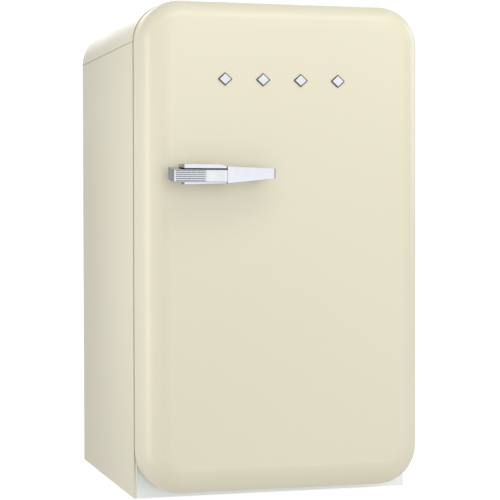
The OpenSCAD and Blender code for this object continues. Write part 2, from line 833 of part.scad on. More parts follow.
module crisper_drawer() color(clear_blue)
    difference() {
        union() {
            box([-drawer_x, drawer_x], [drawer_front_y, drawer_rear_y], [drawer_z, drawer_z + drawer_h]);
            box([-drawer_x / 2, drawer_x / 2], [drawer_front_y - drawer_lip, drawer_front_y],
                [drawer_z + drawer_h - pull_drop - pull_t, drawer_z + drawer_h - pull_drop]);
        }
        box([-drawer_x + bin_wall, drawer_x - bin_wall],
            [drawer_front_y + bin_wall, drawer_rear_y - bin_wall],
            [drawer_z + bin_wall, drawer_z + drawer_h + cut]);
    }

// ---- cooling unit ----

// Half of the shell's outline, from the axis outwards
module shell_profile(r, h, round)
    intersection() {
        union() {
            translate([0, round]) square([r, h - 2 * round]);
            square([r - round, h]);
            for (z = [round, h - round]) translate([r - round, z]) circle(round);
            translate([0, h / 2 - shell_rim]) square([r + shell_rim, 2 * shell_rim]);
        }
        square([r + shell_rim, h]);
    }

module compressor_shell() color(black)
    translate([compressor_x, compressor_y, shell_z])
        rotate_extrude() shell_profile(compressor_r, compressor_h, shell_round);

module at_mounts()
    for (x = [-mount_x, mount_x], y = [-mount_y, mount_y])
        translate([compressor_x + x, compressor_y + y, 0]) children();

module compressor_base() color(black)
    difference() {
        box([compressor_x - mount_x - mount_edge, compressor_x + mount_x + mount_edge],
            [compressor_y - mount_y - mount_edge, compressor_y + mount_y + mount_edge],
            [mount_z, mount_z + mount_t]);
        at_mounts() translate([0, 0, mount_z - cut]) cylinder(h = mount_t + 2 * cut, r = mount_bolt_r);
    }

module compressor_grommets() color([0.2, 0.2, 0.2])
    at_mounts() translate([0, 0, pan_z]) difference() {
        cylinder(h = mount_z - pan_z, r = grommet_r);
        translate([0, 0, -cut]) cylinder(h = mount_z - pan_z + 2 * cut, r = mount_bolt_r);
    }

module compressor_bolts() color(zinc)
    at_mounts() {
        translate([0, 0, pan_z]) cylinder(h = shell_z - pan_z + bolt_top, r = mount_bolt_r);
        translate([0, 0, shell_z]) cylinder(h = bolt_top, r = bolt_head_r, $fn = 6);
    }

module relay_cover() color([0.15, 0.15, 0.17])
    box([compressor_x + compressor_r + shell_rim + gap, compressor_x + compressor_r + relay_out],
        [compressor_y - relay_half_d, compressor_y + relay_half_d], [shell_z + relay_low,
            shell_z + relay_high]);

module evaporation_tray() color(soft_white)
    bin([compressor_x - tray_half_w, compressor_x + tray_half_w],
        [compressor_y - tray_half_d, compressor_y + tray_half_d], [tray_z, tray_z + tray_h], tray_wall);

module drain_tube() color(soft_white)
    difference() {
        rod_z(0, drain_y, tray_z + tray_h + tray_gap, hump_top_z, drain_r);
        rod_z(0, drain_y, tray_z, hump_top_z + cut, drain_r - drain_wall);
    }

module discharge_pipe() color(copper)
    pipe([[compressor_x + compressor_r, compressor_y, pipe_z], [coil_feed_x, compressor_y, pipe_z],
        [coil_feed_x, coil_y, pipe_z], [coil_feed_x, coil_y, coil_start_z]], coil_tube_r, pipe_bend);

module suction_pipe() color(copper)
    pipe([[compressor_x - compressor_r, compressor_y, pipe_z],
        [compressor_x - compressor_r - suction_out, compressor_y, pipe_z],
        [compressor_x - compressor_r - suction_out, back_in_y - suction_rear, pipe_z],
        [compressor_x - compressor_r - suction_out, back_in_y - suction_rear, bay_top_z]], suction_r,
            pipe_bend);

module condenser_coil() color(black) pipe(coil_path, coil_tube_r, coil_pitch / 2);

module condenser_wires() color(black)
    for (i = [0 : wire_count - 1])
        rod_z(-coil_x + coil_pitch / 2 + wire_side
            + i * (2 * coil_x - coil_pitch - 2 * wire_side) / (wire_count - 1),
            coil_y + coil_tube_r + wire_r + wire_gap, coil_low_z - wire_end, coil_top_z + wire_end, wire_r);

module condenser_clips() color(black)
    for (x = [-coil_x / 2, coil_x / 2], i = [1, (coil_runs - 1) / 2, coil_runs - 2])
        box([x - clip_half_w, x + clip_half_w], [back_out_y, coil_y - coil_tube_r - wire_gap],
            [coil_low_z + i * coil_pitch - clip_half_h, coil_low_z + i * coil_pitch + clip_half_h]);

module filter_drier() color(copper)
    translate([coil_drop_x, coil_y, drier_top_z - drier_len]) {
        cylinder(h = drier_cone, r1 = drier_tip_r, r2 = drier_r);
        translate([0, 0, drier_cone]) cylinder(h = drier_len - 2 * drier_cone, r = drier_r);
        translate([0, 0, drier_len - drier_cone])
            cylinder(h = drier_cone, r1 = drier_r, r2 = coil_tube_r);
    }

module cable_gland() color(black)
    difference() {
        union() {
            rod_y(gland_x, gland_z, rear_y - 4 * sheet_t, rear_y, gland_r - gland_neck);
            rod_y(gland_x, gland_z, rear_y - 2 * sheet_t, rear_y, gland_r);
        }
        rod_y(gland_x, gland_z, rear_y - 4 * sheet_t - cut, rear_y + cut, cord_r);
    }

// ---- door ----

module door_skin() color(cream)
    difference() {
        pillow(body_w, door_h, door_corner_r, door_edge_r, door_t, door_back_y, door_bottom_z);
        pillow(body_w - 2 * skin_t, door_h - 2 * skin_t, door_corner_r - skin_t, door_edge_r - skin_t,
            door_t - skin_t + cut, door_back_y + cut, door_bottom_z + skin_t);
        hinge_pockets();
        for (x = [post_left_x, post_right_x])
            rod_y(x, handle_z, door_front_y - cut, door_front_y + skin_t + cut, screw_r);
    }

module door_foam() color(foam_yellow)
    difference() {
        pillow(body_w - 2 * foam_inset, door_h - 2 * foam_inset, door_corner_r - foam_inset,
            door_edge_r - foam_inset, door_t - foam_inset - liner_t, door_back_y - liner_t,
            door_bottom_z + foam_inset);
        hinge_pockets();
        at_bushes() cylinder(h = bush_len, r = bush_r);
        box([post_left_x - plate_side, post_right_x + plate_side], [door_front_y,
            door_front_y + skin_t + plate_t],
            [handle_z - plate_half_h, handle_z + plate_half_h]);
        for (x = [post_left_x, post_right_x])
            rod_y(x, handle_z, door_front_y, door_front_y + skin_t + plate_t + screw_room_d, screw_room_r);
    }

module at_bushes() {
    translate([hinge_x, hinge_y, hinge_top_z - hinge_arm_t - pocket_clear - bush_len]) children();
    translate([hinge_x, hinge_y, hinge_low_z + hinge_arm_t + pocket_clear]) children();
}

module hinge_bushes() color([0.85, 0.85, 0.82])
    at_bushes() difference() {
        cylinder(h = bush_len, r = bush_r);
        translate([0, 0, -cut]) cylinder(h = bush_len + 2 * cut, r = hinge_pin_r + pin_clear);
    }

module door_liner() color(liner_white) {
    difference() {
        extrude_y(door_back_y - liner_t, door_back_y)
            round_rect([-half_w + foam_inset, door_bottom_z + foam_inset],
                [half_w - foam_inset, top_z - foam_inset], door_corner_r - foam_inset);
        hinge_pockets();
    }
    extrude_y(door_back_y - liner_t / 2, door_back_y + dyke_d) difference() {
        round_rect([-dyke_x, dyke_low_z], [dyke_x, dyke_top_z], dyke_r);
        round_rect([-dyke_x + dyke_w, dyke_low_z + dyke_w], [dyke_x - dyke_w, dyke_top_z - dyke_w],
            dyke_in_r);
    }
}

module door_gasket() color([0.86, 0.86, 0.84])
    extrude_y(door_back_y, cab_front_y - gap) difference() {
        seal_outline(seal_out);
        seal_outline(seal_out + seal_w);
    }

// The seal's outline, set in from the door's outline
module seal_outline(inset)
    round_rect([-half_w + inset, door_bottom_z + inset], [half_w - inset, top_z - inset],
        door_corner_r - inset);

module door_bin(z, h) color(clear_blue)
    difference() {
        union() {
            bin([-bin_x, bin_x], [door_back_y + gap, bin_rear_y], [z, z + h], bin_wall);
            box([-bin_x, bin_x], [bin_rear_y - bin_wall, bin_rear_y + bin_over], [z + h - rail_drop, z + h]);
        }
        rod_z(0, door_back_y + bin_d / 2, z - cut, z + bin_wall + cut, bin_drain_r);
    }

module balcony_upper() door_bin(bin_upper_z, bin_h);

module balcony_middle() door_bin(bin_middle_z, bin_h);

module bottle_rack() door_bin(bin_low_z, rack_h);

// ---- handle and badge ----

// Side view of the grip, front and back, grown by the given amount
module grip_section(grow)
    polygon([[grip_back_y, handle_z + grip_low + grip_drop - grow],
        [handle_front_y - grow, handle_z + grip_low - grow],
        [handle_front_y - grow, handle_z + grip_high + grow],
        [grip_back_y, handle_z + grip_high + grip_drop + grow]]);

module handle_grip() color(chrome_grey)
    difference() {
        intersection() {
            extrude_x(handle_left_x, grip_right_x - seat) grip_section(0);
            translate([0, 0, handle_z - handle_half_h]) linear_extrude(2 * handle_half_h)
                polygon([[handle_left_x, grip_back_y], [handle_left_x + grip_slant, handle_front_y],
                    [grip_right_x, handle_front_y], [grip_right_x, grip_back_y]]);
        }
        for (i = [0 : groove_count - 1])
            box([groove_left_x, groove_left_x + groove_len],
                [handle_front_y - cut, handle_front_y + groove_d],
                [groove_z + (i - (groove_count - 1) / 2) * groove_pitch - groove_w / 2,
                    groove_z + (i - (groove_count - 1) / 2) * groove_pitch + groove_w / 2]);
    }

module handle_base() color(chrome_grey)
    difference() {
        intersection() {
            extrude_y(handle_front_y, handle_back_y)
                polygon([[base_left_x + rail_slant, handle_z + base_low], [grip_right_x,
                    handle_z + base_low + low_step],
                    [handle_right_x, handle_z + tail_low], [handle_right_x, handle_z + tail_high],
                    [grip_right_x, handle_z + base_high - rail_step], [grip_right_x - rail_mitre,
                        handle_z + base_high],
                    [base_left_x, handle_z + base_high]]);
            translate([0, 0, handle_z - handle_half_h]) linear_extrude(2 * handle_half_h)
                polygon([[base_left_x - rail_back, handle_back_y], [base_left_x + rail_slant,
                    handle_front_y + rail_back],
                    [grip_right_x, handle_front_y + rail_back], [grip_right_x, handle_front_y],
                    [handle_right_x - tail_slant, handle_front_y + rail_mitre],
                    [handle_right_x, handle_front_y + rail_mitre + tail_slant],
                    [handle_right_x, handle_back_y]]);
        }
        extrude_x(handle_left_x - cut, grip_right_x) grip_section(seat);
        for (x = [post_left_x, post_right_x])
            rod_y(x, handle_z, handle_back_y - thread_in, handle_back_y + cut, screw_r);
    }

module handle_posts() color(chrome_grey)
    for (x = [post_left_x, post_right_x]) difference() {
        rod_y(x, handle_z, handle_back_y, door_front_y, post_r);
        rod_y(x, handle_z, handle_back_y - cut, door_front_y + cut, screw_r);
    }

module handle_plate() color(zinc)
    difference() {
        box([post_left_x - plate_side, post_right_x + plate_side],
            [door_front_y + skin_t, door_front_y + skin_t + plate_t], [handle_z - plate_half_h,
                handle_z + plate_half_h]);
        for (x = [post_left_x, post_right_x])
            rod_y(x, handle_z, door_front_y, door_front_y + skin_t + plate_t + cut, screw_r);
    }

module handle_screws() color(zinc)
    for (x = [post_left_x, post_right_x]) {
        rod_y(x, handle_z, handle_back_y - thread_in, door_front_y + skin_t + plate_t, screw_r);
        rod_y(x, handle_z, door_front_y + skin_t + plate_t,
            door_front_y + skin_t + plate_t + post_head_t, post_head_r);
    }

module badge_studs() color(chrome_grey)
    for (i = [-1.5, -0.5, 0.5, 1.5])
        extrude_y(door_front_y - badge_t, door_front_y) translate([badge_x + i * badge_pitch, badge_z])
            polygon([[-badge_w / 2, 0], [0, -badge_h / 2], [badge_w / 2, 0], [0, badge_h / 2]]);

side_panel_left();
side_panel_right();
roof_panel();
back_panel();
base_pan();
plinth_plate();
cabinet_foam();
inner_liner();
bay_panel();
rear_crossbar();
foot_pads();
foot_studs();
hinge_brackets();
hinge_pins();
hinge_screws();
shelf_glass_upper();
shelf_glass_lower();
shelf_trims();
crisper_lid();
ice_box_shell();
evaporator();
ice_box_pins();
control_housing();
thermostat_body();
lamp_bulb();
lamp_lens();
door_switch_body();
drain_tube();
evaporation_tray();
compressor_shell();
compressor_base();
compressor_grommets();
compressor_bolts();
relay_cover();
discharge_pipe();
suction_pipe();
condenser_coil();
condenser_wires();
condenser_clips();
filter_drier();
cable_gland();
back_screws();
door_skin();
door_foam();
door_liner();
door_gasket();
hinge_bushes();
handle_base();
handle_grip();
handle_posts();
handle_plate();
handle_screws();
badge_studs();
balcony_upper();
balcony_middle();
bottle_rack();
crisper_drawer();
ice_box_door();
thermostat_knob();
door_switch_plunger();
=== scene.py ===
import json
import math

import bmesh
import bpy
from mathutils import Matrix, Vector


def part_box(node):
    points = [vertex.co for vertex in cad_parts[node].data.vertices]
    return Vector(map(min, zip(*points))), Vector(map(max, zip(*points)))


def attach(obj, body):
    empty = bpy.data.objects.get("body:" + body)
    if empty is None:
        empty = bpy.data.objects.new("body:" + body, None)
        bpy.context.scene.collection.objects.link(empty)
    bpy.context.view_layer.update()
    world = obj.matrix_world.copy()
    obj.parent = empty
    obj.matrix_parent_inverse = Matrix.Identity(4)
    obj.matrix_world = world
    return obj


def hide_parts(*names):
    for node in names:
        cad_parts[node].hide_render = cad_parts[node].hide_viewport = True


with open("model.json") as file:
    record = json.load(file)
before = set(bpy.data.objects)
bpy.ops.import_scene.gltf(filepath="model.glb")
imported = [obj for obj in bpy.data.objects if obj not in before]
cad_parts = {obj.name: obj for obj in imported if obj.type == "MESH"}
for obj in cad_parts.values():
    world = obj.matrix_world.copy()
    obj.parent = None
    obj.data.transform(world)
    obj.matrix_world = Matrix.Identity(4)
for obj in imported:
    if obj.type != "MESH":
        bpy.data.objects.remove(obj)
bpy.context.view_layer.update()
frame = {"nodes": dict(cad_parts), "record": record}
BODY = "cabinet"         # the body that the fixed pieces ride on

# ---- camera ----

LENS = 118.80            # mm, on a 36 mm sensor
AZIMUTH = math.radians(-16.002)
ELEVATION = math.radians(1.225)
ROLL = math.radians(-0.095)
DISTANCE = 3.37786
TARGET = Vector((0.011175, 0.0, 0.483484))

# ---- helpers: scene ----


def linear(r, g, b):
    """An sRGB colour of 0 to 255 as linear light."""
    return tuple(((v / 255 + 0.055) / 1.055) ** 2.4 if v > 10 else v / 255 / 12.92 for v in (r, g, b))


def make_camera():
    """Looks at the target from the front left, from a little above it."""
    back = Vector((math.sin(AZIMUTH) * math.cos(ELEVATION), -math.cos(AZIMUTH) * math.cos(ELEVATION),
                   math.sin(ELEVATION)))
    data = bpy.data.cameras.new("camera")
    data.lens = LENS
    data.sensor_width = 36
    data.clip_end = 100
    camera = bpy.data.objects.new("camera", data)
    turn = back.to_track_quat("Z", "Y").to_matrix() @ Matrix.Rotation(ROLL, 3, "Z")
    camera.matrix_world = Matrix.Translation(TARGET + DISTANCE * back) @ turn.to_4x4()
    bpy.context.collection.objects.link(camera)
    bpy.context.scene.camera = camera


def area_light(name, place, aim, size, power):
    """A soft box that lights the object but isn't seen itself."""
    data = bpy.data.lights.new(name, "AREA")
    data.shape = "RECTANGLE"
    data.size, data.size_y = size
    data.energy = power
    light = bpy.data.objects.new(name, data)
    away = Vector(place) - Vector(aim)
    light.visible_camera = False
    light.matrix_world = Matrix.Translation(place) @ away.to_track_quat("Z", "Y").to_matrix().to_4x4()
    bpy.context.collection.objects.link(light)


def make_world(camera_light, low_light, high_light):
    """White where the camera looks past the object. What lights it is dimmer, and dimmest overhead."""
    world = bpy.data.worlds.new("studio")
    bpy.context.scene.world = world
    world.use_nodes = True
    tree = world.node_tree
    tree.nodes.clear()
    seen = tree.nodes.new("ShaderNodeBackground")
    seen.inputs["Strength"].default_value = camera_light
    lit = tree.nodes.new("ShaderNodeBackground")
    coord = tree.nodes.new("ShaderNodeTexCoord")
    height = tree.nodes.new("ShaderNodeSeparateXYZ")
    level = tree.nodes.new("ShaderNodeMapRange")
    level.inputs["From Min"].default_value = -1.0    # straight down; straight up is 1
    level.inputs["To Min"].default_value = low_light
    level.inputs["To Max"].default_value = high_light
    tree.links.new(coord.outputs["Generated"], height.inputs[0])
    tree.links.new(height.outputs["Z"], level.inputs["Value"])
    tree.links.new(level.outputs["Result"], lit.inputs["Strength"])
    path = tree.nodes.new("ShaderNodeLightPath")
    mix = tree.nodes.new("ShaderNodeMixShader")
    out = tree.nodes.new("ShaderNodeOutputWorld")
    for node in (seen, lit):
        node.inputs["Color"].default_value = (1, 1, 1, 1)
    tree.links.new(path.outputs["Is Camera Ray"], mix.inputs[0])
    tree.links.new(lit.outputs[0], mix.inputs[1])
    tree.links.new(seen.outputs[0], mix.inputs[2])
    tree.links.new(mix.outputs[0], out.inputs["Surface"])


# ---- helpers: materials ----

NOISE = "ShaderNodeTexNoise"
CELLS = "ShaderNodeTexVoronoi"
RAMP_FROM, RAMP_TO = 0.15, 0.85    # the part of a pattern's range that colour and roughness follow


def finish(name, color, roughness, **sockets):
    """A material with its even values set on the shader's own sockets."""
    mat = bpy.data.materials.new(name)
    mat.use_nodes = True
    shader = mat.node_tree.nodes["Principled BSDF"]
    shader.inputs["Base Color"].default_value = (*color, 1)
    shader.inputs["Roughness"].default_value = roughness
    for key, value in sockets.items():
        shader.inputs[key.replace("_", " ")].default_value = value
    return mat


def texture(mat, kind, scale, stretch=(1, 1, 1), detail=3.0):
    """A procedural pattern in the piece's own frame, in cells per metre."""
    tree = mat.node_tree
    coord = tree.nodes.new("ShaderNodeTexCoord")
    mapping = tree.nodes.new("ShaderNodeMapping")
    mapping.inputs["Scale"].default_value = stretch
    node = tree.nodes.new(kind)
    node.inputs["Scale"].default_value = scale
    if kind == "ShaderNodeTexNoise":
        node.inputs["Detail"].default_value = detail
    tree.links.new(coord.outputs["Object"], mapping.inputs["Vector"])
    tree.links.new(mapping.outputs["Vector"], node.inputs["Vector"])
    return node


def value_of(node):
    """The grey output of a pattern: noise has a factor, cells have a distance."""
    return node.outputs["Fac"] if "Fac" in node.outputs else node.outputs["Distance"]


def tint(mat, node, low, high):
    """The colour wanders between two shades along a pattern."""
    tree = mat.node_tree
    ramp = tree.nodes.new("ShaderNodeValToRGB")
    ramp.color_ramp.interpolation = "EASE"
    ramp.color_ramp.elements[0].position = RAMP_FROM
    ramp.color_ramp.elements[1].position = RAMP_TO
    ramp.color_ramp.elements[0].color = (*low, 1)
    ramp.color_ramp.elements[1].color = (*high, 1)
    tree.links.new(value_of(node), ramp.inputs[0])
    tree.links.new(ramp.outputs[0], tree.nodes["Principled BSDF"].inputs["Base Color"])


def rough(mat, node, low, high):
    """The roughness wanders between two values along a pattern."""
    tree = mat.node_tree
    spread = tree.nodes.new("ShaderNodeMapRange")
    spread.inputs["From Min"].default_value = RAMP_FROM
    spread.inputs["From Max"].default_value = RAMP_TO
    spread.inputs["To Min"].default_value = low
    spread.inputs["To Max"].default_value = high
    tree.links.new(value_of(node), spread.inputs["Value"])
    tree.links.new(spread.outputs["Result"], tree.nodes["Principled BSDF"].inputs["Roughness"])


def grain(mat, node, height):
    """Adds a pattern to the surface, of that height in metres."""
    tree = mat.node_tree
    shader = tree.nodes["Principled BSDF"]
    bump = tree.nodes.new("ShaderNodeBump")
    bump.inputs["Strength"].default_value = 1.0
    bump.inputs["Distance"].default_value = height
    tree.links.new(value_of(node), bump.inputs["Height"])
    if shader.inputs["Normal"].is_linked:
        tree.links.new(shader.inputs["Normal"].links[0].from_socket, bump.inputs["Normal"])
    tree.links.new(bump.outputs["Normal"], shader.inputs["Normal"])


def shades(color, spread):
    """A darker and a lighter version of a colour."""
    return tuple(c * (1 - spread) for c in color), tuple(min(1.0, c * (1 + spread)) for c in color)


def moulded(name, color, low, high, cell, height, **sockets):
    """Plastic, paint or rubber: fine grain, patchy gloss and a slight wander of colour."""
    mat = finish(name, color, low, **sockets)
    tint(mat, texture(mat, NOISE, 9), *shades(color, 0.02))
    rough(mat, texture(mat, NOISE, 24), low, high)
    grain(mat, texture(mat, NOISE, cell), height)
    return mat


def brushed(name, color, low, high, stretch, height, **sockets):
    """Metal with fine lines along one direction."""
    mat = finish(name, color, low, Metallic=1.0, **sockets)
    tint(mat, texture(mat, NOISE, 30), *shades(color, 0.05))
    rough(mat, texture(mat, NOISE, 60, stretch), low, high)
    grain(mat, texture(mat, NOISE, 300, stretch), height)
    return mat


def galvanised(name, color):
    """Zinc-coated sheet: spangle in flat crystals, each with its own shade."""
    mat = finish(name, color, 0.4, Metallic=0.85)
    cells = texture(mat, CELLS, 160)
    tint(mat, cells, *shades(color, 0.05))
    rough(mat, texture(mat, CELLS, 110), 0.34, 0.48)
    grain(mat, texture(mat, CELLS, 160), 0.00001)
    grain(mat, texture(mat, NOISE, 6, detail=1.0), 0.0002)
    return mat


def foam_finish():
    """Poured insulating foam: small open cells, dull and yellowish."""
    mat = finish("foam", linear(228, 208, 148), 0.9)
    cells = texture(mat, CELLS, 260)
    tint(mat, cells, linear(206, 184, 122), linear(236, 218, 160))
    rough(mat, texture(mat, NOISE, 40), 0.85, 0.98)
    grain(mat, cells, 0.0006)
    return mat


def glass(name, color, low, high, ior, waviness):
    """Glass or clear plastic with faint waves in its surface."""
    mat = finish(name, color, low, Transmission_Weight=1.0, IOR=ior)
    tint(mat, texture(mat, NOISE, 6), *shades(color, 0.015))
    rough(mat, texture(mat, NOISE, 30), low, high)
    grain(mat, texture(mat, NOISE, 14), waviness)
    return mat


def enamel(name, color):
    """Baked gloss enamel: faint orange peel under a clear top coat."""
    mat = finish(name, color, 0.36, Coat_Weight=0.2, Coat_Roughness=0.24)
    tint(mat, texture(mat, NOISE, 2.5, detail=0.0), *shades(color, 0.012))
    rough(mat, texture(mat, NOISE, 5, detail=0.0), 0.34, 0.4)
    grain(mat, texture(mat, NOISE, 260, detail=0.0), 0.0000015)
    return mat


def make_finishes():
    """One finish for each material slot of the record, and then those that only pieces use."""
    zinc = linear(190, 194, 196)
    return {
        "cream_enamel": enamel("cream_enamel", linear(226, 220, 195)),
        "plinth_paint": moulded("plinth_paint", linear(244, 249, 249), 0.3, 0.4, 500, 0.00001),
        "foam": foam_finish(),
        "liner_plastic": moulded("liner_plastic", linear(241, 242, 240), 0.26, 0.36, 350, 0.00002),
        "zinc_sheet": galvanised("zinc_sheet", zinc),
        "zinc_hardware": brushed("zinc_hardware", zinc, 0.26, 0.42, (1, 1, 6), 0.00002),
        "black_plastic": moulded("black_plastic", linear(34, 34, 36), 0.42, 0.6, 900, 0.00005),
        "shelf_glass": glass("shelf_glass", linear(240, 251, 247), 0.01, 0.04, 1.5, 0.00002),
        "soft_white_plastic": moulded("soft_white_plastic", linear(236, 236, 231), 0.34, 0.46, 700,
                                      0.00003),
        "clear_plastic": glass("clear_plastic", linear(243, 249, 252), 0.04, 0.1, 1.49, 0.00005),
        "evaporator_aluminium": brushed("evaporator_aluminium", linear(206, 209, 212), 0.3, 0.44,
                                        (1, 12, 1), 0.00003),
        "bulb_glass": glass("bulb_glass", linear(250, 248, 238), 0.3, 0.4, 1.5, 0.00003),
        "compressor_paint": moulded("compressor_paint", linear(24, 25, 27), 0.28, 0.42, 260, 0.00007),
        "grommet_rubber": moulded("grommet_rubber", linear(40, 40, 40), 0.75, 0.9, 800, 0.00008),
        "copper_tube": brushed("copper_tube", linear(198, 122, 82), 0.24, 0.42, (1, 1, 5), 0.00002),
        "seal_vinyl": moulded("seal_vinyl", linear(222, 221, 214), 0.45, 0.6, 600, 0.00004),
        "handle_chrome": brushed("handle_chrome", linear(176, 178, 183), 0.1, 0.18, (0.15, 1, 1),
                                 0.0000015),
        # dark chrome for the handle's rounded edges: painted reflection, dark lines standing for what the
        # bevels mirror
        "chrome_painted_reflection": brushed("chrome_painted_reflection", linear(84, 87, 94), 0.1, 0.16, (0.15, 1, 1), 0.0000015),
        # the dark rim round each badge lozenge: painted reflection of the chrome's sides
        "badge_painted_dark_edge": moulded("badge_painted_dark_edge", linear(58, 58, 62), 0.35, 0.5, 900, 0.00002),
        "seam_line": moulded("seam_line", linear(176, 170, 146), 0.4, 0.5, 700, 0.00001),
        # a brighter white for the plinth's left end: painted highlight on its bevel
        "plinth_painted_highlight": moulded("plinth_painted_highlight", linear(250, 251, 251), 0.2, 0.3, 500, 0.00001),
        # olive, darker than the enamel: painted shade of the gap behind the door's rear edge
        "gap_shade_bead": moulded("gap_shade_bead", linear(214, 205, 158), 0.4, 0.5, 700, 0.00002),
        "mark_grey": moulded("mark_grey", linear(96, 100, 104), 0.4, 0.5, 700, 0.00001),
    }


def dress_nodes(finishes):
    """Every carried-over node gets the finish of its slot in the record."""
    for part in frame["record"]["subparts"]:
        node = frame["nodes"][part["node"]]
        for material_slot in node.material_slots:
            material_slot.material = finishes[part["material_slot"]]


# ---- helpers: meshes ----


def add_piece(name, bm, mat, body, smooth=30):
    """Turns a bmesh into a piece that rides on a body."""
    bmesh.ops.recalc_face_normals(bm, faces=bm.faces)
    mesh = bpy.data.meshes.new(name)
    bm.to_mesh(mesh)
    bm.free()
    piece = bpy.data.objects.new(name, mesh)
    bpy.context.collection.objects.link(piece)
    mesh.materials.append(mat)
    for face in mesh.polygons:
        face.use_smooth = True
    mesh.set_sharp_from_angle(angle=math.radians(smooth))
    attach(piece, body)
    return piece


def soften(piece, width, painted_edge_finish=None):
    """Rounds a piece's edges; the rounding can have a finish of its own, used to paint a dark reflection
    along them.
    """
    bevel = piece.modifiers.new("bevel", "BEVEL")
    bevel.width = width
    bevel.segments = 2
    bevel.limit_method = "ANGLE"
    bevel.angle_limit = math.radians(35)
    if painted_edge_finish:
        piece.data.materials.append(painted_edge_finish)
        bevel.material = 1


def add_prism(bm, outline, depth_from, depth_to, axis="Y"):
    """A closed solid on an outline: (x, z) points along Y, or (x, y) points along Z."""
    def point(p, d):
        return (p[0], d, p[1]) if axis == "Y" else (p[0], p[1], d)
    low = [bm.verts.new(point(p, depth_from)) for p in outline]
    high = [bm.verts.new(point(p, depth_to)) for p in outline]
    count = len(outline)
    bm.faces.new(low)
    bm.faces.new(high[::-1])
    for i in range(count):
        j = (i + 1) % count
        bm.faces.new((low[i], high[i], high[j], low[j]))


def rounded_loop(x0, x1, z0, z1, radius, steps=10):
    """Points round a rectangle with round corners, each with its outward direction."""
    loop = []
    for cx, cz, start in ((x1 - radius, z1 - radius, 0), (x0 + radius, z1 - radius, 90),
                          (x0 + radius, z0 + radius, 180), (x1 - radius, z0 + radius, 270)):
        for k in range(steps + 1):
            angle = math.radians(start + 90 * k / steps)
            out = (math.cos(angle), math.sin(angle))
            loop.append(((cx + radius * out[0], cz + radius * out[1]), out))
    return loop


def add_frame_sweep(bm, loop, section):
    """A closed section of (outward, y) points carried round a loop in the XZ plane."""
    rings = [[bm.verts.new((p[0] + s * out[0], y, p[1] + s * out[1])) for s, y in section]
             for p, out in loop]
    for i, ring in enumerate(rings):
        following = rings[(i + 1) % len(rings)]
        for k in range(len(section)):
            m = (k + 1) % len(section)
            bm.faces.new((ring[k], ring[m], following[m], following[k]))


def add_rings(bm, rings):
    """Joins rings of the same number of points into a tube, closed at both ends."""
    made = [[bm.verts.new(p) for p in ring] for ring in rings]
    for here, there in zip(made, made[1:]):
        for k in range(len(here)):
            m = (k + 1) % len(here)
            bm.faces.new((here[k], here[m], there[m], there[k]))
    bm.faces.new(made[0])
    bm.faces.new(made[-1][::-1])


FLUTED_FROM = 0.006      # rings narrower than this stay round


def add_lathe(bm, centre, axis, profile, steps=32, flutes=0, flute_depth=0.0):
    """Turns (radius, distance along the axis) points round an axis; flutes ripple the radius."""
    along = Vector(axis)
    side = Vector((0, 0, 1)) if abs(along.z) < 0.5 else Vector((1, 0, 0))
    other = along.cross(side)
    rings = []
    for radius, distance in profile:
        ring = []
        for k in range(steps):
            angle = math.tau * k / steps
            ripple = flute_depth * (1 - math.cos(flutes * angle)) / 2 if radius > FLUTED_FROM else 0.0
            ring.append(Vector(centre) + along * distance
                        + (side * math.cos(angle) + other * math.sin(angle)) * (radius - ripple))
        rings.append(ring)
    add_rings(bm, rings)


SKEW = Vector((0.31, 0.52, 0.79))    # parallel to no tube here, so it always gives a sideways direction


def add_tube(bm, points, radius, steps=8):
    """A round tube along a run of points."""
    rings = []
    for i, point in enumerate(points):
        before = Vector(points[max(i - 1, 0)])
        after = Vector(points[min(i + 1, len(points) - 1)])
        along = (after - before).normalized()
        side = along.cross(SKEW).normalized()
        other = along.cross(side)
        rings.append([Vector(point) + (side * math.cos(math.tau * k / steps)
                                       + other * math.sin(math.tau * k / steps)) * radius
                      for k in range(steps)])
    add_rings(bm, rings)


def solid_object(bm):
    """A bmesh as a loose object, for use as a cutting tool."""
    bmesh.ops.recalc_face_normals(bm, faces=bm.faces)
    mesh = bpy.data.meshes.new("tool")
    bm.to_mesh(mesh)
    bm.free()
    tool = bpy.data.objects.new("tool", mesh)
    bpy.context.collection.objects.link(tool)
    return tool


def combined(bm, *steps):
    """bm after booleans: each step is an operation and the bmesh of its tool."""
    base = solid_object(bm)
    tools = []
    for operation, tool_bm in steps:
        tool = solid_object(tool_bm)
        cutter = base.modifiers.new("boolean", "BOOLEAN")
        cutter.operation = operation
        cutter.solver = "EXACT"
        cutter.object = tool
        tools.append(tool)
    bpy.context.view_layer.update()
    evaluated = base.evaluated_get(bpy.context.evaluated_depsgraph_get())
    result = bmesh.new()
    result.from_mesh(evaluated.to_mesh())
    for spare in (base, *tools):
        bpy.data.objects.remove(spare)
    return result


def flat_loop(x0, x1, y0, y1, z, radius):
    """Points round a level rectangle with round corners."""
    return [(p[0], p[1], z) for p, _ in rounded_loop(x0, x1, y0, y1, radius, 6)]


# ---- pieces ----


GRIP_DOWN, GRIP_UP = -0.014, 0.009    # the grip's front face, from its middle
GRIP_RISE = 0.005        # how much higher the grip's rear edges are
RAIL_DOWN, RAIL_UP = 0.018, 0.019     # the base's reach below and above the middle


def handle_measures():
    """What the grip and its base share: the grip's box in X and Y, and the middle of its height."""
    grip_low, grip_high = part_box("handle_grip")
    base_low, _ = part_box("handle_base")
    return grip_low[0], grip_high[0], grip_low[1], grip_high[1], base_low[2] + RAIL_DOWN


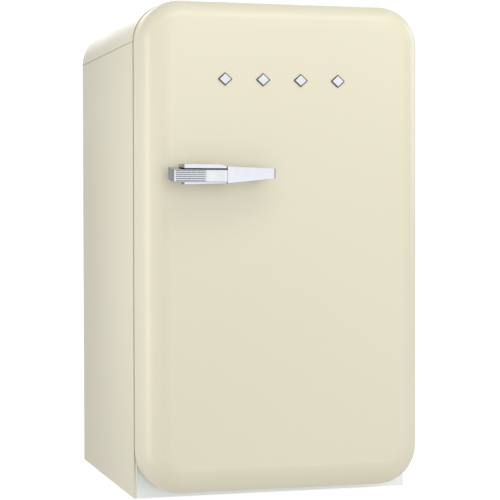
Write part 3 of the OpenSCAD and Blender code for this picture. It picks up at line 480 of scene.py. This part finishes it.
def grip(finishes):
    """The ribbed grip, its left end slanted back, its grooves running out to the right."""
    left, right, front, back, middle = handle_measures()
    slant, edge, edge_deep = 0.006, 0.001, 0.0012
    low, high = middle + GRIP_DOWN, middle + GRIP_UP
    ribs_from = left + slant + 0.003
    ribs_to = ribs_from + 0.058
    pitch, groove_deep, run_out = 0.0036, 0.0021, 0.010
    ribs_middle = middle - 0.0025
    ridge = 0.15         # how much of each wave is levelled off between the grooves
    along, across = 24, 96

    def sunk(x, z):
        """How far the face is cut in at a point, for six grooves."""
        if x < ribs_from or abs(z - ribs_middle) > 3 * pitch:
            return 0.0
        run = min(max((ribs_to - x) / run_out, 0.0), 1.0)
        wave = max(0.0, math.cos(math.tau * ((z - ribs_middle) / pitch + 0.5)))
        return groove_deep * run * max(0.0, (1 + ridge) * wave - ridge)

    stations = [left, left + 0.003, left + slant, ribs_from - 0.0003, ribs_from]
    stations += [ribs_from + (ribs_to - ribs_from) * k / along for k in range(1, along + 1)]
    stations += [right - 0.02, right]
    section = [(back, low + GRIP_RISE), (front + edge_deep, low), (front, low + edge)]
    section += [(front, low + edge + (high - low - 2 * edge) * k / across) for k in range(1, across)]
    section += [(front, high - edge), (front + edge_deep, high), (back, high + GRIP_RISE)]
    rings = []
    for station in stations:
        ring = []
        for y, z in section:
            x = max(station, left + slant * (back - y) / (back - front))
            ring.append((x, y + (sunk(x, z) if y == front else 0.0), z))
        rings.append(ring)
    bm = bmesh.new()
    add_rings(bm, rings)
    piece = add_piece("grip_ribbed", bm, finishes["handle_chrome"], "door", 22)
    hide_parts("handle_grip")


def rails(finishes):
    """The base: a rail above and below the grip, and a tail that tapers away from its mitred end."""
    left, right, front, back, middle = handle_measures()
    base_low, base_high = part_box("handle_base")
    rail, spare = front + 0.004, 0.0003
    bm = bmesh.new()
    add_prism(bm, [(base_low[0] + 0.006, middle - RAIL_DOWN), (right, middle - 0.016),
                   (base_high[0], middle - 0.006), (base_high[0], middle + 0.012),
                   (right, middle + 0.015), (right - 0.012, middle + RAIL_UP),
                   (base_low[0], middle + RAIL_UP)], front, base_high[1])
    plan = bmesh.new()
    plan_half = 0.04
    add_prism(plan, [(base_low[0] - 0.004, base_high[1]), (base_low[0] + 0.006, rail), (right, rail),
                     (right + 0.0005, front), (base_high[0] - 0.003, front + 0.012),
                     (base_high[0], front + 0.015), (base_high[0], base_high[1])],
              middle - plan_half, middle + plan_half, "Z")
    low, high, open_front = middle + GRIP_DOWN - spare, middle + GRIP_UP + spare, front - 0.01
    slot = bmesh.new()
    add_rings(slot, [[(x, back + spare, low + GRIP_RISE), (x, open_front, low),
                      (x, open_front, high), (x, back + spare, high + GRIP_RISE)]
                     for x in (left - 0.01, right + 0.0002)])
    bm = combined(bm, ("INTERSECT", plan), ("DIFFERENCE", slot))
    piece = add_piece("handle_rails", bm, finishes["handle_chrome"], "door")
    # the rounded edges take the dark chrome: a painted reflection along them
    soften(piece, 0.0018, finishes["chrome_painted_reflection"])
    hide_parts("handle_base")


def gap_shade_bead(finishes):
    """A thin olive strip round the door's rear edge: painted shade standing for the shadowed gap to the
    cabinet. The hinge side has none: it would foul the hinges.
    """
    low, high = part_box("door_skin")
    bm = bmesh.new()
    corner, thick, deep = 0.076, 0.0034, 0.005
    hinge_side = 0.25    # the bead stops here, short of the hinge pins
    rear = high[1] + deep
    section = [(-0.0003, high[1]), (0.0, high[1] + 0.0008), (0.0, rear - 0.0014), (-0.0008, rear),
               (0.0006 - thick, rear), (-thick, rear - 0.001), (-thick, high[1])]
    run = [(p, out) for p, out in rounded_loop(low[0], high[0], low[2], high[2], corner, 16)
           if p[0] <= hinge_side]
    add_rings(bm, [[(p[0] + s * out[0], y, p[1] + s * out[1]) for s, y in section] for p, out in run])
    # the strip's colour is painted shade, not a part of its own
    add_piece("door_gap_shade_bead", bm, finishes["gap_shade_bead"], "door", 50)


def seams(finishes):
    """The joint between the roof and each side panel, and the ends of the plinth plate; the left end is a
    brighter white, a painted highlight.
    """
    low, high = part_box("roof_panel")
    seam_half, proud, end_gap = 0.0011, 0.0003, 0.001
    ring = [(0.0, -seam_half), (0.00025, -0.0006), (proud, 0.0), (0.00025, 0.0006), (0.0, seam_half),
            (-0.0005, 0.0)]
    for name, x, way in (("left", low[0], -1), ("right", high[0], 1)):
        bm = bmesh.new()
        add_rings(bm, [[(x + way * a, y, low[2] + b) for a, b in ring]
                       for y in (low[1] + end_gap, 0.0, high[1] - end_gap)])
        add_piece("roof_seam_" + name, bm, finishes["seam_line"], BODY, 60)

    plate_low, plate_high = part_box("plinth_plate")
    front, bottom = plate_low[1] - 0.0004, plate_low[2] + 0.0005
    # the left end is painted highlight: whiter and glossier than the plate
    ends = (("left", plate_low[0] - 0.0001, plate_low[0] + 0.0014, "plinth_painted_highlight"),
            ("right", plate_high[0], high[0] - proud, "plinth_paint"))
    for name, x0, x1, mat in ends:
        bm = bmesh.new()
        add_prism(bm, [(x0, bottom), (x1, bottom), (x1, plate_high[2]), (x0, plate_high[2])],
                  front, plate_high[1])
        piece = add_piece("plinth_end_" + name, bm, finishes[mat], BODY)
        soften(piece, 0.0004)


WALL = 0.0025            # the thickness of the bins' and the drawer's walls


def open_box(name, finishes, body, low, high, radius, outside, inside):
    """A clear open box: rings of (height, how far outward) up the outside and down the inside."""
    bm = bmesh.new()
    add_rings(bm, [flat_loop(low[0] - grow, high[0] + grow, low[1] - grow, high[1] + grow, z, radius + grow)
                   for z, grow in outside + inside])
    return add_piece(name, bm, finishes["clear_plastic"], body, 40)


def bins(finishes):
    """The three door bins, drafted and rimmed, with ribs inside the wall that faces the cabinet."""
    rim = draft = 0.0015
    margin, rib_radius = 0.02, 0.0012
    for node in ("balcony_upper", "balcony_middle", "bottle_rack"):
        low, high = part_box(node)
        bottom, top = low[2], high[2]
        outside = [(bottom, -draft - 0.002), (bottom + 0.002, -draft), (top - 0.006, -rim),
                   (top - 0.005, 0.0), (top - 0.0008, 0.0), (top, -0.0008)]
        inside = [(top, 0.0006 - WALL), (top - 0.002, -WALL), (bottom + WALL + 0.003, -WALL - draft),
                  (bottom + WALL, -WALL - draft - 0.003)]
        piece = open_box(node + "_bin", finishes, "door", low, high, 0.012, outside, inside)
        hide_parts(node)
        bm = bmesh.new()
        y = high[1] - 0.0019
        for level in (0.42, 0.56, 0.70):
            z = bottom + level * (top - bottom)
            add_tube(bm, [(low[0] + margin, y, z), (0, y, z), (high[0] - margin, y, z)], rib_radius)
        add_piece(node + "_ribs", bm, finishes["soft_white_plastic"], "door", 60)


def drawer(finishes):
    """The crisper: a round-cornered drawer with a pull moulded along its front."""
    low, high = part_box("crisper_drawer")
    pull_out = 0.009         # how far the pull stands in front of the drawer
    front, bottom, rim = low[1] + pull_out, low[2], high[2]
    outside = [(bottom, -0.004), (bottom + 0.003, -0.0015), (rim - 0.006, -0.0008),
               (rim - 0.0008, 0.0), (rim, -0.0008)]
    inside = [(rim, 0.0005 - WALL), (rim - 0.002, -WALL), (bottom + WALL + 0.003, -WALL - 0.0015),
              (bottom + WALL, -WALL - 0.004)]
    body = open_box("crisper_body", finishes, "crisper_drawer", (low[0], front), high, 0.014,
                    outside, inside)
    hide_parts("crisper_drawer")

    half, top, inner = (high[0] - low[0]) / 4, rim - 0.016, front + 0.0005
    outline = [(inner, top), (low[1] + 0.001, top - 0.0005), (low[1], top - 0.002),
               (low[1] + 0.0005, top - 0.006), (low[1] + 0.002, top - 0.006),
               (low[1] + 0.0025, top - 0.003), (inner, top - 0.003)]
    bm = bmesh.new()
    add_rings(bm, [[(x, y, z) for y, z in outline] for x in (-half, -half / 2, 0, half / 2, half)])
    add_piece("crisper_pull", bm, finishes["soft_white_plastic"], "crisper_drawer",
              40)


def solids_of(node):
    """(lowest, highest) corner of each separate solid in a node, found by walking its mesh."""
    bm = bmesh.new()
    bm.from_mesh(frame["nodes"][node].data)
    bmesh.ops.remove_doubles(bm, verts=bm.verts, dist=1e-6)
    left = set(bm.verts)
    boxes = []
    while left:
        stack = [left.pop()]
        group = list(stack)
        while stack:
            for edge in stack.pop().link_edges:
                for vert in edge.verts:
                    if vert in left:
                        left.remove(vert)
                        stack.append(vert)
                        group.append(vert)
        boxes.append(([min(v.co[k] for v in group) for k in range(3)],
                      [max(v.co[k] for v in group) for k in range(3)]))
    bm.free()
    return sorted(boxes)


def back_screws(finishes):
    """Pan heads with a cross recess, over the plain heads of the back panel's screws."""
    radius, height = 0.0046, 0.0026
    reach, half = radius * 0.55, radius * 0.13
    arm = ((half, half), (half, reach), (-half, reach))
    cross = []
    for cos, sin in ((1, 0), (0, 1), (-1, 0), (0, -1)):
        cross += [(a * cos - b * sin, a * sin + b * cos) for a, b in arm]
    heads, recesses = bmesh.new(), bmesh.new()
    for low, high in solids_of("back_screws"):
        x, y, z = (low[0] + high[0]) / 2, high[1] - 0.001, (low[2] + high[2]) / 2
        add_lathe(heads, (x, y, z), (0, 1, 0), [(radius, 0), (radius, height * 0.35),
                                                (radius * 0.86, height * 0.75),
                                                (radius * 0.5, height)], 24)
        add_rings(recesses, [[(x + b, depth, z + a) for a, b in cross]
                             for depth in (y + height / 2, y + height * 2)])
    bm = combined(heads, ("DIFFERENCE", recesses))
    add_piece("back_screws_heads", bm, finishes["zinc_hardware"], BODY, 35)


def feet(finishes):
    """Levelling pads with a ring of grip flutes."""
    flutes, flute_depth = 30, 0.0007
    for i, (low, high) in enumerate(solids_of("foot_pads")):
        centre = ((low[0] + high[0]) / 2, (low[1] + high[1]) / 2, low[2])
        radius, tall = (high[0] - low[0]) / 2, high[2] - low[2]
        bm = bmesh.new()
        add_lathe(bm, centre, (0, 0, 1), [(radius * 0.9, 0), (radius, 0.0008), (radius, tall * 0.7),
                                          (radius * 0.82, tall), (radius * 0.4, tall)],
                  flutes * 4, flutes, flute_depth)
        piece = add_piece("foot_pad_%d" % i, bm, finishes["black_plastic"], BODY, 50)
        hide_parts("foot_pads")


def controls(finishes):
    """The thermostat knob, fluted, with a pointer, and the dial marks on the housing."""
    low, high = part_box("thermostat_knob")
    house_low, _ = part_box("control_housing")
    radius = (high[0] - low[0]) / 2
    middle_x, middle_z = (low[0] + high[0]) / 2, (low[2] + high[2]) / 2
    face, clear = low[1], 0.0003
    deep = house_low[1] - clear - face
    flutes, flute_depth = 24, 0.0009
    bm = bmesh.new()
    add_lathe(bm, (middle_x, face, middle_z), (0, 1, 0),
              [(radius * 0.74, 0), (radius * 0.82, 0.001), (radius * 0.86, deep * 0.45),
               (radius * 0.98, deep * 0.7), (radius, deep)], flutes * 6, flutes, flute_depth)
    knob = add_piece("knob_fluted", bm, finishes["soft_white_plastic"], "thermostat_knob",
                     45)
    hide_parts("thermostat_knob")

    left, right = middle_x - 0.0009, middle_x + 0.0009
    tail, shoulder, tip = (middle_z + radius * share for share in (0.22, 0.7, 0.78))
    bm = bmesh.new()
    add_prism(bm, [(left, tail), (right, tail), (right, shoulder), (middle_x, tip), (left, shoulder)],
              face, face + 0.0005)
    add_piece("knob_pointer", bm, finishes["mark_grey"], "thermostat_knob")

    ring = radius + 0.0045
    bm = bmesh.new()
    for k in range(7):
        angle = math.radians(90 - 45 * k)
        size = 0.0007 + 0.00022 * k
        place = (middle_x + ring * math.cos(angle), house_low[1] + 0.0002,
                 middle_z + ring * math.sin(angle))
        add_lathe(bm, place, (0, -1, 0), [(size, 0), (size, 0.0004)], 16)
    add_piece("dial_marks", bm, finishes["mark_grey"], BODY)


def evaporator_channels(finishes):
    """The raised refrigerant channel on the ice box's floor and ceiling plates, in long even runs."""
    low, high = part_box("evaporator")
    radius, runs, margin, inset = 0.0022, 9, 0.03, 0.002
    ends = (low[1] + margin, high[1] - margin)
    for side, z in (("floor", low[2] + inset), ("ceiling", high[2] - inset)):
        points = []
        for k in range(runs):
            x = low[0] + margin + (high[0] - low[0] - 2 * margin) * k / (runs - 1)
            points += [(x, y, z) for y in (ends if k % 2 == 0 else ends[::-1])]
        bm = bmesh.new()
        add_tube(bm, points, radius, 10)
        add_piece("evaporator_channel_" + side, bm, finishes["evaporator_aluminium"], BODY,
                  60)


def lamp(finishes):
    """The bulb: a frosted glass envelope on a threaded metal cap."""
    low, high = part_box("lamp_bulb")
    centre = ((low[0] + high[0]) / 2, high[1], (low[2] + high[2]) / 2)
    radius, length = (high[0] - low[0]) / 2, high[1] - low[1]
    cap = 0.4 * length
    neck, tip, steps = 0.64, 0.08, 12
    profile = [(radius * neck, cap)]
    for k in range(1, steps):
        angle = math.radians(-50 + 140 * k / steps)
        profile.append((radius * max(math.cos(angle), tip),
                        length - radius + radius * math.sin(angle)))
    bm = bmesh.new()
    add_lathe(bm, centre, (0, -1, 0), profile)
    bulb = add_piece("bulb_envelope", bm, finishes["bulb_glass"], BODY, 60)
    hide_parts("lamp_bulb")

    crest, root, turns = 0.66, 0.58, 10
    threads = [(radius * 0.5, 0)]
    threads += [(radius * (crest if k % 2 else root), cap * (k + 1) / turns) for k in range(turns)]
    bm = bmesh.new()
    add_lathe(bm, centre, (0, -1, 0), threads)
    add_piece("bulb_cap", bm, finishes["zinc_hardware"], BODY, 50)


def badge(finishes):
    """Four chrome lozenges, each a smaller face on a dark edge; the dark edge is painted reflection,
    standing for what the chrome's sides mirror.
    """
    low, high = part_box("badge_studs")
    count, step = 4, 0.0012
    tall = high[2] - low[2]
    wide = tall * 28 / 25    # each lozenge is 28 mm wide and 25 mm high
    pitch = (high[0] - low[0] - wide) / (count - 1)
    middle_z = (low[2] + high[2]) / 2
    for i in range(count):
        centre = low[0] + wide / 2 + i * pitch
        for name, share, front, rear, mat in (("edge", 1.0, step, 0.0, "badge_painted_dark_edge"),
                                              ("face", 0.84, 0.0, step, "handle_chrome")):
            half_x, half_z = wide / 2 * share, tall / 2 * share
            bm = bmesh.new()
            add_prism(bm, [(centre - half_x, middle_z), (centre, middle_z - half_z),
                           (centre + half_x, middle_z), (centre, middle_z + half_z)],
                      low[1] + front, high[1] - rear)
            piece = add_piece("badge_%s_%d" % (name, i), bm, finishes[mat], "door")
            soften(piece, 0.0007)
            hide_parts("badge_studs")


def gasket(finishes):
    """The door seal: a magnet pocket on two bellows folds, carried round the door."""
    low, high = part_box("door_gasket")
    width, corner, fold, lip, edge = 0.018, 0.044, 0.0022, 0.0012, 0.0006
    front, rear = low[1], high[1]
    first, second, third, pocket = (front + share * (rear - front) for share in (0.22, 0.42, 0.58, 0.7))
    section = [(0, front), (-fold, first), (0, second), (-fold, third), (-lip, pocket),
               (-lip, rear - edge), (-0.002, rear), (0.002 - width, rear), (lip - width, rear - edge),
               (lip - width, pocket), (fold - width, third), (-width, second), (fold - width, first),
               (-width, front)]
    bm = bmesh.new()
    add_frame_sweep(bm, rounded_loop(low[0], high[0], low[2], high[2], corner), section)
    piece = add_piece("gasket_bellows", bm, finishes["seal_vinyl"], "door", 40)
    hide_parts("door_gasket")


def backdrop():
    """A wide pale floor under the feet. It glows, but doesn't light the object or reflect in it."""
    reach = 12.0
    bm = bmesh.new()
    bm.faces.new([bm.verts.new((x, y, 0)) for x, y in
                  ((-reach, -reach), (reach, -reach), (reach, reach), (-reach, reach))])
    mesh = bpy.data.meshes.new("floor")
    bm.to_mesh(mesh)
    bm.free()
    floor = bpy.data.objects.new("floor", mesh)
    bpy.context.collection.objects.link(floor)
    mat = finish("floor", (0.25, 0.25, 0.25), 0.6)
    shader = mat.node_tree.nodes["Principled BSDF"]
    shader.inputs["Emission Color"].default_value = (1, 1, 1, 1)
    shader.inputs["Emission Strength"].default_value = 0.9
    rough(mat, texture(mat, NOISE, 2), 0.55, 0.7)
    mesh.materials.append(mat)
    floor.visible_diffuse = False
    floor.visible_glossy = False
    floor.visible_shadow = False


def light_studio():
    """Each light has a place, a point it faces, a size in metres and a power in watts."""
    make_world(1.05, 0.74, 0.5)
    area_light("side", (-0.82, -0.24, 0.5), (-0.27, -0.2, 0.5), (0.25, 1.1), 2.1)
    area_light("front", (1.6, -4.2, 1.2), (0, 0, 0.5), (4.4, 4.0), 72)
    area_light("top", (0.1, -0.95, 1.9), (0, -0.25, 0.94), (1.6, 0.5), 6)
    area_light("back", (0.6, 3.4, 1.8), (0, 0, 0.5), (2.4, 2.0), 26)
    area_light("right", (3.0, 0.6, 1.5), (0, 0, 0.5), (1.6, 2.0), 14)


make_camera()
bpy.context.scene.view_settings.view_transform = "Standard"
light_studio()
backdrop()
FINISHES = make_finishes()
dress_nodes(FINISHES)
for make in (grip, rails, badge, gasket, gap_shade_bead, seams, bins, drawer, feet, controls,
             evaporator_channels, lamp, back_screws):
    make(FINISHES)
